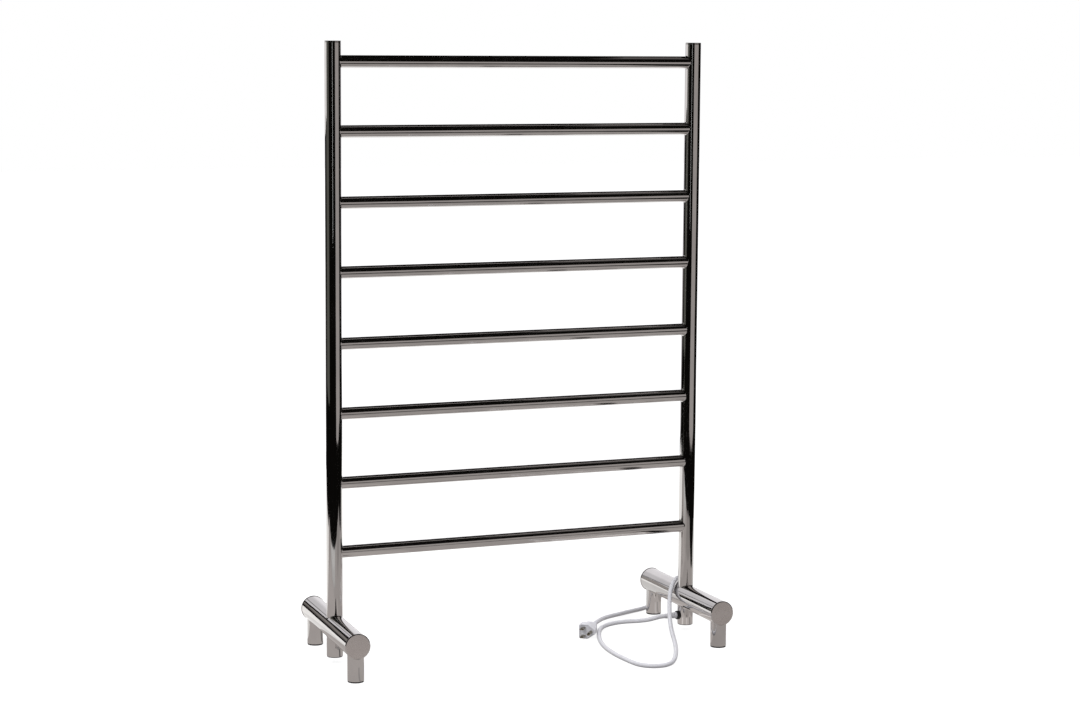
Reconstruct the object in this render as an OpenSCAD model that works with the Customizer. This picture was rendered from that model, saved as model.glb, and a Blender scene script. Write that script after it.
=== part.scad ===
// Free-standing electric towel warmer rack: two posts, eight bars and two tube feet.
// Millimetres. The origin is on the floor, midway between the posts; Z is up, -Y is the front.

/* [Rack] */
// Distance between the axes of the two posts
rack_w = 600; // [450:10:700]
// Height of the rack, from the floor to the tops of the posts
rack_h = 950; // [925:5:1100]
// Height of the lowest bar's axis
first_bar_z = 172.5; // [150:0.5:175]
// Distance between the axes of neighbouring bars
bar_pitch = 107; // [90:1:107]

/* [Tubes] */
// Outer diameter of the posts
post_d = 25; // [24:0.5:28]
// Wall of the posts and of the pegs
post_wall = 1.2; // [0.8:0.1:1.5]
// Outer diameter of the bars
bar_d = 19; // [16:0.5:22]
// Wall of the bars
bar_wall = 1; // [0.7:0.1:1.5]

/* [Feet] */
// Outer diameter of the foot tubes
foot_d = 38; // [36:0.5:42]
// Wall of the foot tubes
foot_wall = 1.5; // [1:0.1:2]
// Length of a foot, over its two end discs
foot_l = 275; // [260:5:360]
// Height of a foot tube's axis
foot_z = 56; // [54:0.5:60]
// How far an end disc stands out past its foot tube, all round
disc_lip = 0.6; // [0.1:0.1:1]
// Distance between the two pegs of one foot
peg_pitch = 248; // [200:1:250]
// Clearance between the floor and the end of a post
post_end_z = 10.5; // [9:0.5:11]
// Degrees that the left foot's front end is swung to the left about its post
left_foot_turn = 3.9; // [-5:0.1:5]
// Degrees that the right foot's front end is swung to the left about its post
right_foot_turn = 1.2; // [-5:0.1:5]

/* [Cord] */
// Diameter of the mains cord
cord_d = 7; // [6:0.5:7]
// Height of the cord gland on the right post
gland_z = 25; // [24:0.5:26]

/* [Plug] */
// Width of the plug's face
plug_w = 27; // [25:0.5:28]
// Thickness of the plug, from side to side of its blades
plug_h = 24; // [22:0.5:24]
// Length of the plug's body
plug_l = 35; // [30:1:40]

/* [Hidden] */
$fn = 64;

bar_count = 8;
// how far each bar sits above its even spacing, the lowest bar first
bar_offsets = [0, 0, 0, 0, 1.5, 0, 0, -2.5];
post_x = rack_w / 2;
post_r = post_d / 2;
bore_r = post_r - post_wall;
bar_r = bar_d / 2;
foot_r = foot_d / 2;
disc_r = foot_r + disc_lip;
peg_y = peg_pitch / 2;
tiny = 0.01;

// end caps, discs and glides
cap_t = 2;
cap_spigot = 8;
disc_t = 2;
disc_spigot = 4;
glide_t = 2;
glide_spigot = 10;
end_plug_t = 1;
end_plug_spigot = 5;
spigot_gap = 0.1;

// gland, in the right post's own frame, facing the left post
gland_hole_r = 4.8;
gland_flange_r = 7;
gland_flange_x = post_r + 2.3;
gland_neck_x = 4;
gland_nut_r = 6.8;
gland_nut_t = 3;
gland_nut_x = 5;
cord_hole_r = cord_d / 2;
relief_tip_x = 36;
relief_root_r = 5.2;
relief_tip_r = cord_d / 2 + 0.4;
relief_tail_x = 6;

// heating cable and what joins it to the cord, in the right post's frame
heat_r = 2;
heat_x = 3;
heat_bend = 8;
cable_hole_r = 5;
splice_r = 2.7;
splice_z = 103;
splice_l = 25;
fuse_r = 3;
fuse_l = 22;
return_x = -1;
return_y = 6;
return_drop = 40;
wire_r = 1.1;
wire_spread = 1.8;
wire_sides = 8;
wire_steps = 3;
turn_steps = 3;
lug_z = 50;
lug_r = 4;
lug_t = 0.8;
lug_x = bore_r - 1.3;
barrel_r = 1.7;
barrel_l = 5;
barrel_x = lug_x - lug_t / 2 - 1;
barrel_z = lug_z - lug_r - 7;
rivet_r = 1.6;
rivet_head_r = 3;
rivet_head_t = 1.2;

// plug, in a frame whose +X runs from the cord to the tips of the pins
plug_turn = 180 + atan2(8, 6);
plug_relief_l = 22;
plug_relief_root_r = 6;
plug_pin_side_h = 10;
plug_back_w = 18;
plug_back_h = 18;
plug_back_pin_side_h = 14;
plug_edge_r = 3;
plug_grip_l = 16;
blade_w = 6.35;
blade_t = 1.5;
blade_l = 16.5;
blade_pitch = 12.7;
blade_y = -5.5;
pin_r = 2.4;
pin_l = 20;
pin_y = 6.4;
pin_root = 8;

// Route of the cord, from the gland's relief to the plug's relief, from the right post's foot.
// It droops to the floor, lies in an open loop in front, climbs over the foot tube beside the post,
// falls behind the foot in a loop and comes back round the foot's rear end to the plug.
route = [[-36, 0, 25], [-48, 0, 25], [-59, 2, 21.5], [-75, 13, 17.5], [-85, 40, 12], [-105, 51, 8.5],
    [-129, 46, 5.5], [-147, 17, 4], [-165, -25, 3.5], [-179, -74, 3.5], [-183, -126, 3.5],
    [-180, -171, 3.5], [-177, -201, 3.5], [-156, -218, 3.5], [-129, -214, 3.5], [-108, -185, 3.5],
    [-84, -141, 6], [-65, -92, 11], [-50, -49, 18], [-38, -20, 31], [-30, -2, 50], [-22, 10, 68],
    [-10, 20, 80], [4, 32, 81.5], [21, 46, 73], [38, 68, 55], [54, 96, 38], [75, 128, 22],
    [95, 163, 10], [102, 201, 4.5], [84, 230, 3.5], [51, 232, 3.5], [29, 204, 3.5], [16, 166, 3.5],
    [0, 150, 3.5], [-36, 137, 3.5], [-75, 111, 6], [-109, 84, 10], [-136, 51, 12], [-142, 43, 12]];
cord_sides = 10;
rings_per_step = 2;

function bar_z(i) = first_bar_z + i * bar_pitch + bar_offsets[i];
function unit(v) = v / norm(v);
// one point of a uniform cubic B-spline, t from 0 to 1 between the middle two of four points
function spline_point(a, b, c, d, t) =
    (pow(1 - t, 3) * a + (3 * pow(t, 3) - 6 * t * t + 4) * b
    + (-3 * pow(t, 3) + 3 * t * t + 3 * t + 1) * c + pow(t, 3) * d) / 6;
// the spline starts at the first point and ends at the last one
function run_out(p) = concat([2 * p[0] - p[1]], p, [2 * p[len(p) - 1] - p[len(p) - 2]]);
function spline(p, steps) = let (q = run_out(p)) concat(
    [for (i = [0 : len(q) - 4]) for (k = [0 : steps - 1])
        spline_point(q[i], q[i + 1], q[i + 2], q[i + 3], k / steps)],
    [p[len(p) - 1]]);
// points round the quarter circle between two angles, in the plane of the rack; side mirrors them in X
function quarter(side, x, z, r, from, to) =
    [for (k = [0 : turn_steps]) let (a = from + (to - from) * k / turn_steps)
        [side * (x + r * cos(a)), 0, z + r * sin(a)]];
function tangent(c, i) = unit(c[min(i + 1, len(c) - 1)] - c[max(i - 1, 0)]);
// n points round c[i], one of them straight along up
function ring(c, i, r, n, up) = let (t = tangent(c, i), v = unit(up - (up * t) * t), side = cross(t, v))
    [for (k = [0 : n - 1]) c[i] + r * (cos(90 + k * 360 / n) * side + sin(90 + k * 360 / n) * v)];

module at_right_post() { translate([post_x, 0, 0]) children(); }

// puts what belongs to a foot round its post; side is -1 for the left foot and 1 for the right one
module at_foot(side) {
    translate([side * post_x, 0, 0]) rotate([0, 0, side < 0 ? -left_foot_turn : -right_foot_turn]) children();
}

// a round tube with n sides swept along the points c
module sweep(c, r, n, up) {
    last = (len(c) - 1) * n;
    faces = concat(
        [[for (k = [0 : n - 1]) n - 1 - k]],
        [for (i = [0 : len(c) - 2]) for (k = [0 : n - 1])
            let (a = i * n + k, b = i * n + (k + 1) % n) each [[a, b, b + n], [a, b + n, a + n]]],
        [[for (k = [0 : n - 1]) last + k]]);
    polyhedron(points = [for (i = [0 : len(c) - 1]) each ring(c, i, r, n, up)], faces = faces);
}

module wire(points) { at_right_post() sweep(spline(points, wire_steps), wire_r, wire_sides, [0, 1, 0]); }

module steel() { color([0.78, 0.77, 0.75]) children(); }
module black_plastic() { color([0.12, 0.12, 0.12]) children(); }
module white_pvc() { color([0.93, 0.93, 0.94]) children(); }

// side is -1 for the left post and 1 for the right one
module post(side, has_gland) {
    steel() translate([side * post_x, 0, 0]) difference() {
        translate([0, 0, post_end_z]) cylinder(h = rack_h - cap_t - post_end_z, r = post_r);
        cylinder(h = rack_h, r = bore_r);
        for (i = [0 : bar_count - 1])
            translate([0, 0, bar_z(i)]) rotate([0, -side * 90, 0]) cylinder(h = post_d, r = cable_hole_r);
        if (has_gland) {
            translate([0, 0, gland_z]) rotate([0, -90, 0]) cylinder(h = post_d, r = gland_hole_r);
            translate([0, 0, lug_z]) rotate([0, 90, 0]) cylinder(h = post_d, r = rivet_r);
        }
    }
}

// a flat cap with a spigot that fits the post's bore
module post_cap(side) {
    steel() translate([side * post_x, 0, rack_h - cap_t]) {
        cylinder(h = cap_t, r = post_r);
        translate([0, 0, -cap_spigot]) cylinder(h = cap_spigot + tiny, r = bore_r - spigot_gap);
    }
}

module post_plug(side) {
    black_plastic() translate([side * post_x, 0, post_end_z - end_plug_t]) {
        cylinder(h = end_plug_t, r = post_r - 0.3);
        cylinder(h = end_plug_t + end_plug_spigot, r = bore_r - spigot_gap);
    }
}

// a tube between the posts, its ends cut to sit round them
module bar(i) {
    steel() translate([0, 0, bar_z(i)]) difference() {
        rotate([0, 90, 0]) cylinder(h = rack_w, r = bar_r, center = true);
        rotate([0, 90, 0]) cylinder(h = rack_w + 2, r = bar_r - bar_wall, center = true);
        for (side = [-1, 1]) translate([side * post_x, 0, 0]) cylinder(h = 2 * bar_d, r = post_r, center = true);
    }
}

module foot_tube(side) {
    tube_l = foot_l - 2 * disc_t;
    steel() at_foot(side) translate([0, 0, foot_z]) difference() {
        rotate([90, 0, 0]) cylinder(h = tube_l, r = foot_r, center = true);
        rotate([90, 0, 0]) cylinder(h = tube_l + 2, r = foot_r - foot_wall, center = true);
        cylinder(h = 2 * foot_d, r = post_r, center = true);
    }
}

// end is -1 at the front and 1 at the back
module foot_disc(side, end) {
    steel() at_foot(side) translate([0, end * foot_l / 2, foot_z]) rotate([end * 90, 0, 0]) {
        cylinder(h = disc_t, r = disc_r);
        cylinder(h = disc_t + disc_spigot, r = foot_r - foot_wall - spigot_gap);
    }
}

// its top is cut to sit round the foot tube and under the lip of the disc
module peg(side, end) {
    steel() at_foot(side) translate([0, end * peg_y, 0]) difference() {
        translate([0, 0, glide_t]) cylinder(h = foot_z - glide_t, r = post_r);
        cylinder(h = foot_z + 1, r = bore_r);
        translate([0, 0, foot_z]) rotate([90, 0, 0]) cylinder(h = 2 * foot_d, r = foot_r, center = true);
        translate([0, end * (foot_l / 2 - peg_y), foot_z]) rotate([end * 90, 0, 0])
            cylinder(h = disc_t, r = disc_r);
    }
}

module glide(side, end) {
    black_plastic() at_foot(side) translate([0, end * peg_y, 0]) {
        cylinder(h = glide_t, r = post_r - 0.3);
        cylinder(h = glide_t + glide_spigot, r = bore_r - spigot_gap);
    }
}

// the cable runs up from the right post's foot, to and fro through the bars, and back down the right post
module heating_cable() {
    turn_x = post_x + heat_x - heat_bend;
    side_x = post_x + heat_x;
    top = bar_z(bar_count - 1);
    path = concat(
        [[side_x, 0, splice_z + splice_l]],
        quarter(1, turn_x, first_bar_z - heat_bend, heat_bend, 0, 90),
        [for (i = [0 : bar_count - 2]) let (side = i % 2 == 0 ? -1 : 1) each concat(
            quarter(side, turn_x, bar_z(i) + heat_bend, heat_bend, -90, 0),
            quarter(side, turn_x, bar_z(i + 1) - heat_bend, heat_bend, 0, 90))],
        quarter(1, turn_x, top - heat_bend, heat_bend, 90, 0),
        [[post_x + return_x, return_y, top - return_drop],
            [post_x + return_x, return_y, splice_z + splice_l + fuse_l]]);
    color([0.72, 0.30, 0.22]) sweep(path, heat_r, wire_sides, [0, 1, 0]);
}

module splice(x, y) {
    color([0.15, 0.15, 0.17]) at_right_post() translate([x, y, splice_z]) cylinder(h = splice_l, r = splice_r);
}

module thermal_fuse() {
    color([0.85, 0.85, 0.80]) at_right_post() translate([return_x, return_y, splice_z + splice_l])
        cylinder(h = fuse_l, r = fuse_r);
}

module live_wire() {
    color([0.10, 0.10, 0.10]) wire([[-relief_tail_x, 0, gland_z + wire_spread], [heat_x, 0, gland_z + 14],
        [heat_x, 0, gland_z + 30], [heat_x, 0, splice_z]]);
}

module neutral_wire() {
    color([0.92, 0.92, 0.90]) wire([[-relief_tail_x, wire_spread, gland_z - 1],
        [return_x, return_y, gland_z + 12], [return_x, return_y, gland_z + 30], [return_x, return_y, splice_z]]);
}

module earth_wire() {
    color([0.20, 0.50, 0.25]) wire([[-relief_tail_x, -wire_spread, gland_z - 1], [1, -5, gland_z + 1],
        [barrel_x - 2, -3, gland_z + 5], [barrel_x, 0, barrel_z]]);
}

// a ring tongue with its crimp barrel, flat against the post's inside
module earth_lug() {
    color([0.85, 0.70, 0.35]) at_right_post() {
        translate([lug_x - lug_t, 0, lug_z]) rotate([0, 90, 0]) difference() {
            union() {
                cylinder(h = lug_t, r = lug_r);
                translate([0, -barrel_r, 0]) cube([lug_r + 3, 2 * barrel_r, lug_t]);
            }
            translate([0, 0, -1]) cylinder(h = lug_t + 2, r = rivet_r);
        }
        translate([barrel_x, 0, barrel_z]) cylinder(h = barrel_l, r = barrel_r, $fn = 24);
    }
}

// holds the lug to the post, inside the foot tube
module earth_rivet() {
    color([0.60, 0.60, 0.62]) at_right_post() translate([0, 0, lug_z]) rotate([0, 90, 0]) {
        translate([0, 0, lug_x - lug_t - rivet_head_t]) cylinder(h = rivet_head_t, r = rivet_head_r);
        translate([0, 0, lug_x - lug_t - tiny]) cylinder(h = post_r - lug_x + lug_t + 2 * tiny, r = rivet_r);
        translate([0, 0, post_r]) cylinder(h = rivet_head_t, r = rivet_head_r);
    }
}

// a moulded bush: a round flange outside the post and a neck through its wall
module cord_gland() {
    black_plastic() at_right_post() difference() {
        translate([0, 0, gland_z]) rotate([0, -90, 0]) union() {
            translate([0, 0, gland_neck_x]) cylinder(h = post_r, r = gland_hole_r);
            difference() {
                translate([0, 0, gland_neck_x]) cylinder(h = gland_flange_x - gland_neck_x, r = gland_flange_r);
                rotate([0, 90, 0]) cylinder(h = 4 * gland_flange_r, r = post_r, center = true);
            }
        }
        translate([0, 0, gland_z]) rotate([0, -90, 0]) cylinder(h = 2 * post_r, r = cord_hole_r);
    }
}

module gland_nut() {
    black_plastic() at_right_post() translate([0, 0, gland_z]) rotate([0, -90, 0])
        translate([0, 0, gland_nut_x]) difference() {
            cylinder(h = gland_nut_t, r = gland_nut_r, $fn = 6);
            translate([0, 0, -1]) cylinder(h = gland_nut_t + 2, r = gland_hole_r);
        }
}

// the tapered sleeve on the cord, with the cord's own end inside the post
module cord_relief() {
    white_pvc() at_right_post() translate([0, 0, gland_z]) rotate([0, -90, 0]) {
        translate([0, 0, relief_tail_x]) cylinder(h = gland_flange_x - relief_tail_x + tiny, r = cord_hole_r);
        translate([0, 0, gland_flange_x])
            cylinder(h = relief_tip_x - gland_flange_x, r1 = relief_root_r, r2 = relief_tip_r);
    }
}

module mains_cord() {
    white_pvc() at_right_post() sweep(spline(route, rings_per_step), cord_d / 2, cord_sides, [0, 0, 1]);
}

// puts the plug's own frame on the floor at the cord's far end
module at_plug() {
    at_right_post() translate(route[len(route) - 1]) rotate([0, 0, plug_turn]) children();
}

module plug_relief() {
    white_pvc() at_plug() rotate([0, 90, 0])
        cylinder(h = plug_relief_l, r1 = relief_tip_r, r2 = plug_relief_root_r);
}

// the corners of a slab across the plug, w wide and t thick along X: it is h tall at the blades' side, and
// from its middle it narrows to pin_side_h at the round pin's side
module slab_corners(w, h, pin_side_h, t) {
    side_y = w / 2 - plug_edge_r;
    for (corner = [[-side_y, h], [0, h], [side_y, pin_side_h]], z = [-1, 1])
        translate([0, corner[0], z * (corner[1] / 2 - plug_edge_r)])
            rotate([0, 90, 0]) cylinder(h = t, r = plug_edge_r, $fn = 24);
}

module plug_body() {
    white_pvc() at_plug() translate([plug_relief_l, 0, 0]) difference() {
        hull() {
            slab_corners(plug_back_w, plug_back_h, plug_back_pin_side_h, 1);
            translate([plug_grip_l, 0, 0]) slab_corners(plug_w, plug_h, plug_pin_side_h, plug_l - plug_grip_l);
        }
        for (z = [-1, 1]) translate([plug_l - pin_root, blade_y - blade_w / 2, z * blade_pitch / 2 - blade_t / 2])
            cube([pin_root + 1, blade_w, blade_t]);
        translate([plug_l - pin_root, pin_y, 0]) rotate([0, 90, 0]) cylinder(h = pin_root + 1, r = pin_r, $fn = 24);
    }
}

module blade(z_side) {
    color([0.80, 0.74, 0.55]) at_plug()
        translate([plug_relief_l + plug_l - pin_root, blade_y - blade_w / 2, z_side * blade_pitch / 2 - blade_t / 2])
            cube([pin_root + blade_l, blade_w, blade_t]);
}

module ground_pin() {
    color([0.80, 0.74, 0.55]) at_plug() translate([plug_relief_l + plug_l - pin_root, pin_y, 0]) rotate([0, 90, 0]) {
        cylinder(h = pin_root + pin_l - pin_r, r = pin_r, $fn = 24);
        translate([0, 0, pin_root + pin_l - pin_r]) sphere(r = pin_r, $fn = 24);
    }
}

post(-1, false);  // left_post
post(1, true);  // right_post
post_cap(-1);  // left_post_cap
post_cap(1);  // right_post_cap
post_plug(-1);  // left_post_plug
post_plug(1);  // right_post_plug
for (i = [0 : bar_count - 1])
    bar(i);
foot_tube(-1);  // left_foot_tube
foot_tube(1);  // right_foot_tube
for (side = [-1, 1], end = [-1, 1]) {
    place = str(side < 0 ? "left" : "right", end < 0 ? "_front" : "_back");
    foot_disc(side, end);
    peg(side, end);
    glide(side, end);
}
heating_cable();
thermal_fuse();
splice(heat_x, 0);  // live_splice
splice(return_x, return_y);  // neutral_splice
live_wire();
neutral_wire();
earth_wire();
earth_lug();
earth_rivet();
cord_gland();
gland_nut();
cord_relief();
mains_cord();
plug_relief();
plug_body();
blade(1);  // upper_blade
blade(-1);  // lower_blade
ground_pin();
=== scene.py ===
"""Free-standing towel warmer rack: two posts, eight bars and two tube feet of polished stainless steel,
with its heating cable and wiring inside and a white mains cord lying round the right foot."""
import math

import bmesh
import bpy
from mathutils import Matrix, Vector


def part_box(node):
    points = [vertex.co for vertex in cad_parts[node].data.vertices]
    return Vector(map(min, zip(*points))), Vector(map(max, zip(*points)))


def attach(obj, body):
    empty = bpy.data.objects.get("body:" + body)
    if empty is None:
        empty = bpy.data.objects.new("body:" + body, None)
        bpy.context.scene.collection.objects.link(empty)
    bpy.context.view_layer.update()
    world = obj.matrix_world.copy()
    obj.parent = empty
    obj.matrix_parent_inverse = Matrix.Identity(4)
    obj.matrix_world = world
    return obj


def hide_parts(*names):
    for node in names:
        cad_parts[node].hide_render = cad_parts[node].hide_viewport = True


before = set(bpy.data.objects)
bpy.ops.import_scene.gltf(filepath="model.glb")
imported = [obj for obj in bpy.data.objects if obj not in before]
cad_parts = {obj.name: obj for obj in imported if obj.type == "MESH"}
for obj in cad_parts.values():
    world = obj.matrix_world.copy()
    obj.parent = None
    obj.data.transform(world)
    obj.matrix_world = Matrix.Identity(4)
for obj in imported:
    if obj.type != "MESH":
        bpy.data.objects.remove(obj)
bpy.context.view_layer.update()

MM = 0.001
# Points round a tube and the pieces in its ends, a strain relief, the gland, and the plug's round pin.
SEGMENTS = 96
SMALL_SEGMENTS = 48
GLAND_SEGMENTS = 64
PIN_SEGMENTS = 40
# An edge is shaded sharp where two faces meet at more than this many degrees: on the rack and the gland,
# on the plug and the reliefs, and on the blades.
SHARP = 35
SHARP_SMALL = 50
SHARP_BLADE = 40
BODY = "root"

# ---------------------------------------------------------------- camera
# Place in metres, turns in degrees, lens in millimetres on a sensor 36 mm wide.
CAMERA_PLACE = Vector((-1.502, -3.627, 0.957))
CAMERA_YAW = 23.03
CAMERA_PITCH = -7.267
CAMERA_ROLL = 0.39
CAMERA_LENS = 84.37

# ---------------------------------------------------------------- cord
# Route of the cord, in millimetres from the right post's foot, as in the CAD source.
CORD_ROUTE = [
    (-36, 0, 25), (-48, 0, 25), (-59, 2, 21.5), (-75, 13, 17.5), (-85, 40, 12), (-105, 51, 8.5),
    (-129, 46, 5.5), (-147, 17, 4), (-165, -25, 3.5), (-179, -74, 3.5), (-183, -126, 3.5),
    (-180, -171, 3.5), (-177, -201, 3.5), (-156, -218, 3.5), (-129, -214, 3.5), (-108, -185, 3.5),
    (-84, -141, 6), (-65, -92, 11), (-50, -49, 18), (-38, -20, 31), (-30, -2, 50), (-22, 10, 68),
    (-10, 20, 80), (4, 32, 81.5), (21, 46, 73), (38, 68, 55), (54, 96, 38), (75, 128, 22),
    (95, 163, 10), (102, 201, 4.5), (84, 230, 3.5), (51, 232, 3.5), (29, 204, 3.5), (16, 166, 3.5),
    (0, 150, 3.5), (-36, 137, 3.5), (-75, 111, 6), (-109, 84, 10), (-136, 51, 12), (-142, 43, 12),
]
CORD_DIAMETER = 7 * MM
CORD_STEPS = 12

# ---------------------------------------------------------------- sizes read from the frame
post_low, post_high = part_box("left_post")
bar_low, bar_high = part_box("bar_1")
foot_low, foot_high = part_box("left_foot_tube")
disc_low, disc_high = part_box("left_front_disc")
gland_low, gland_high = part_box("cord_gland")
relief_low, relief_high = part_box("cord_relief")
post_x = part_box("right_post")[0].x / 2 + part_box("right_post")[1].x / 2
post_radius = (post_high.x - post_low.x) / 2
bar_radius = (bar_high.z - bar_low.z) / 2
foot_radius = (foot_high.z - foot_low.z) / 2
disc_radius = (disc_high.z - disc_low.z) / 2
foot_axis_z = (foot_high.z + foot_low.z) / 2
gland_z = (gland_high.z + gland_low.z) / 2

# Walls of the tubes, and the clearance round a spigot in its tube.
POST_WALL = 1.2 * MM
BAR_WALL = 1.0 * MM
FOOT_WALL = 1.5 * MM
SPIGOT_GAP = 0.1 * MM
# How far a weld runs out on both tubes, and how far a coped end goes into the tube that it meets.
WELD = 1.3 * MM
WELD_STEPS = 6
BURIED = 0.25 * MM
# Radius of a tube's broken edge.
EDGE = 0.5 * MM
# Every edge and weld has a ring this far beside it, so that its rounding doesn't tilt the plain surface.
GUARD = 0.3 * MM

SIDES = {"left": -1, "right": 1}
ENDS = {"front": -1, "back": 1}


# ---------------------------------------------------------------- mesh helpers
def make_object(name, mesh, material, slot, *nodes):
    """Links the mesh as a piece of the object that rides on the one body and stands for some CAD nodes."""
    piece = bpy.data.objects.new(name, mesh)
    bpy.context.scene.collection.objects.link(piece)
    piece.data.materials.append(material)
    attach(piece, BODY)
    if nodes:
        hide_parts(*nodes)
    return piece


def mesh_of_rings(name, rings, closed_round, sharp=SHARP):
    """Joins each ring of points to the next one by faces. closed_round joins the last ring to the first,
    and otherwise the two end rings are filled."""
    shape = bmesh.new()
    rows = [[shape.verts.new(point) for point in ring] for ring in rings]
    count = len(rows[0])
    pairs = list(zip(rows, rows[1:]))
    if closed_round:
        pairs.append((rows[-1], rows[0]))
    for row, following in pairs:
        for k in range(count):
            n = (k + 1) % count
            shape.faces.new((row[k], row[n], following[n], following[k]))
    if not closed_round:
        shape.faces.new(rows[0])
        shape.faces.new(rows[-1])
    bmesh.ops.recalc_face_normals(shape, faces=shape.faces)
    for face in shape.faces:
        face.smooth = True
    mesh = bpy.data.meshes.new(name)
    shape.to_mesh(mesh)
    shape.free()
    mesh.set_sharp_from_angle(angle=math.radians(sharp))
    return mesh


def circle(radius, height, count=SEGMENTS):
    """Points of a circle round Z."""
    turns = [2 * math.pi * k / count for k in range(count)]
    return [Vector((radius * math.cos(a), radius * math.sin(a), height)) for a in turns]


def saddle(radius, main_radius, centre, side, shift=0.0):
    """A circle of that radius round Z, laid on a cylinder whose axis runs along Y at height centre. side is
    1 on the cylinder's upper half and -1 on its lower one; shift moves the ring out of the cylinder."""
    ring = circle(radius, 0.0)
    for point in ring:
        point.z = centre + side * (math.sqrt(main_radius ** 2 - point.x ** 2) + shift)
    return ring


def weld_rings(radius, main_radius, centre, side):
    """Rings of a hollow weld, from the tube of that radius out onto the cylinder that it meets."""
    corner = saddle(radius, main_radius, centre, side)
    foot = saddle(radius + WELD, main_radius, centre, side)
    rings = [saddle(radius, main_radius, centre, side, WELD + GUARD)]
    for k in range(WELD_STEPS + 1):
        t = k / WELD_STEPS
        ring = []
        for inner, outer in zip(corner, foot):
            start = inner + Vector((0, 0, side * WELD))
            ring.append(start * (1 - t) ** 2 + inner * 2 * t * (1 - t) + outer * t ** 2)
        rings.append(ring)
    return rings


def coped_end(radius, wall, main_radius, centre, side):
    """Rings of a tube's end, cut to sit on a cylinder and welded to it, from the tube to its bore."""
    return weld_rings(radius, main_radius, centre, side) + [
        saddle(radius + WELD, main_radius, centre, side, -BURIED),
        saddle(radius - wall, main_radius, centre, side, -BURIED),
    ]


def square_end(radius, wall, height, side):
    """Rings of a tube's plain end, its outer edge broken, from the tube to its bore."""
    rounded = [circle(radius, height - side * (EDGE + GUARD))]
    rounded += [
        circle(radius - EDGE * (1 - math.cos(a)), height - side * EDGE * (1 - math.sin(a)))
        for a in (0, math.pi / 8, math.pi / 4, 3 * math.pi / 8, math.pi / 2)
    ]
    return rounded + [circle(radius - wall, height)]


def place(rings, matrix):
    return [[matrix @ point for point in ring] for ring in rings]


def lathe(profile, count=SEGMENTS):
    """Rings for a profile of (radius, height) points. A solid piece's profile starts and ends well inside
    its radius, and the rest of each end is filled flat."""
    return [circle(radius, height, count) for radius, height in profile]


def rounded_edge(radius, height, edge, side, steps=4):
    """Profile points that round the outer edge of a disc at that height; side is 1 for its upper edge."""
    angles = [math.pi / 2 * k / steps for k in range(steps + 1)]
    points = [(radius, height - side * (edge + GUARD))]
    points += [
        (radius - edge + edge * math.cos(a), height - side * (edge - edge * math.sin(a)))
        for a in angles
    ]
    points.append((radius - edge - GUARD, height))
    return points if side > 0 else points[::-1]


def frame_from(origin, along, up):
    """Matrix whose Z axis runs along one direction and whose X axis is as near as can be to up."""
    z = Vector(along).normalized()
    x = (Vector(up) - Vector(up).dot(z) * z).normalized()
    y = z.cross(x)
    matrix = Matrix((x, y, z)).transposed().to_4x4()
    matrix.translation = origin
    return matrix


# ---------------------------------------------------------------- material helpers
def new_material(name, colour, metallic, roughness):
    material = bpy.data.materials.new(name)
    material.use_nodes = True
    shader = material.node_tree.nodes["Principled BSDF"]
    shader.inputs["Base Color"].default_value = (*colour, 1)
    shader.inputs["Metallic"].default_value = metallic
    shader.inputs["Roughness"].default_value = roughness
    return material


def add_noise(material, stretch, scale, detail, roughness=0.55, offset=0.0):
    """A noise texture over the object's own metres, stretched by three factors."""
    nodes = material.node_tree.nodes
    links = material.node_tree.links
    coordinates = nodes.new("ShaderNodeTexCoord")
    mapping = nodes.new("ShaderNodeMapping")
    mapping.inputs["Scale"].default_value = stretch
    mapping.inputs["Location"].default_value = (offset, offset, offset)
    noise = nodes.new("ShaderNodeTexNoise")
    noise.inputs["Scale"].default_value = scale
    noise.inputs["Detail"].default_value = detail
    noise.inputs["Roughness"].default_value = roughness
    links.new(coordinates.outputs["Object"], mapping.inputs["Vector"])
    links.new(mapping.outputs["Vector"], noise.inputs["Vector"])
    return noise.outputs["Fac"]


def map_range(material, value, low, high, to_low, to_high):
    node = material.node_tree.nodes.new("ShaderNodeMapRange")
    node.inputs["From Min"].default_value = low
    node.inputs["From Max"].default_value = high
    node.inputs["To Min"].default_value = to_low
    node.inputs["To Max"].default_value = to_high
    material.node_tree.links.new(value, node.inputs["Value"])
    return node.outputs["Result"]


def math_node(material, operation, first, second):
    node = material.node_tree.nodes.new("ShaderNodeMath")
    node.operation = operation
    for socket, value in zip(node.inputs, (first, second)):
        if isinstance(value, (int, float)):
            socket.default_value = value
        else:
            material.node_tree.links.new(value, socket)
    return node.outputs["Value"]


def add_bump(material, height, depth, below=None):
    """Bumps the surface by a height from 0 to 1 times depth, in metres, on top of another bump."""
    node = material.node_tree.nodes.new("ShaderNodeBump")
    node.inputs["Strength"].default_value = 1.0
    node.inputs["Distance"].default_value = depth
    material.node_tree.links.new(height, node.inputs["Height"])
    if below is not None:
        material.node_tree.links.new(below, node.inputs["Normal"])
    return node.outputs["Normal"]


def set_normal(material, normal):
    shader = material.node_tree.nodes["Principled BSDF"]
    material.node_tree.links.new(normal, shader.inputs["Normal"])


def set_roughness(material, value):
    shader = material.node_tree.nodes["Principled BSDF"]
    material.node_tree.links.new(value, shader.inputs["Roughness"])


def tint(material, value, first, second, low=0.3, high=0.7):
    """Colours the surface from one colour to another as the value goes from low to high."""
    ramp = material.node_tree.nodes.new("ShaderNodeValToRGB")
    ramp.color_ramp.elements[0].position = low
    ramp.color_ramp.elements[0].color = (*first, 1)
    ramp.color_ramp.elements[1].position = high
    ramp.color_ramp.elements[1].color = (*second, 1)
    shader = material.node_tree.nodes["Principled BSDF"]
    material.node_tree.links.new(value, ramp.inputs["Fac"])
    material.node_tree.links.new(ramp.outputs["Color"], shader.inputs["Base Color"])


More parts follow.
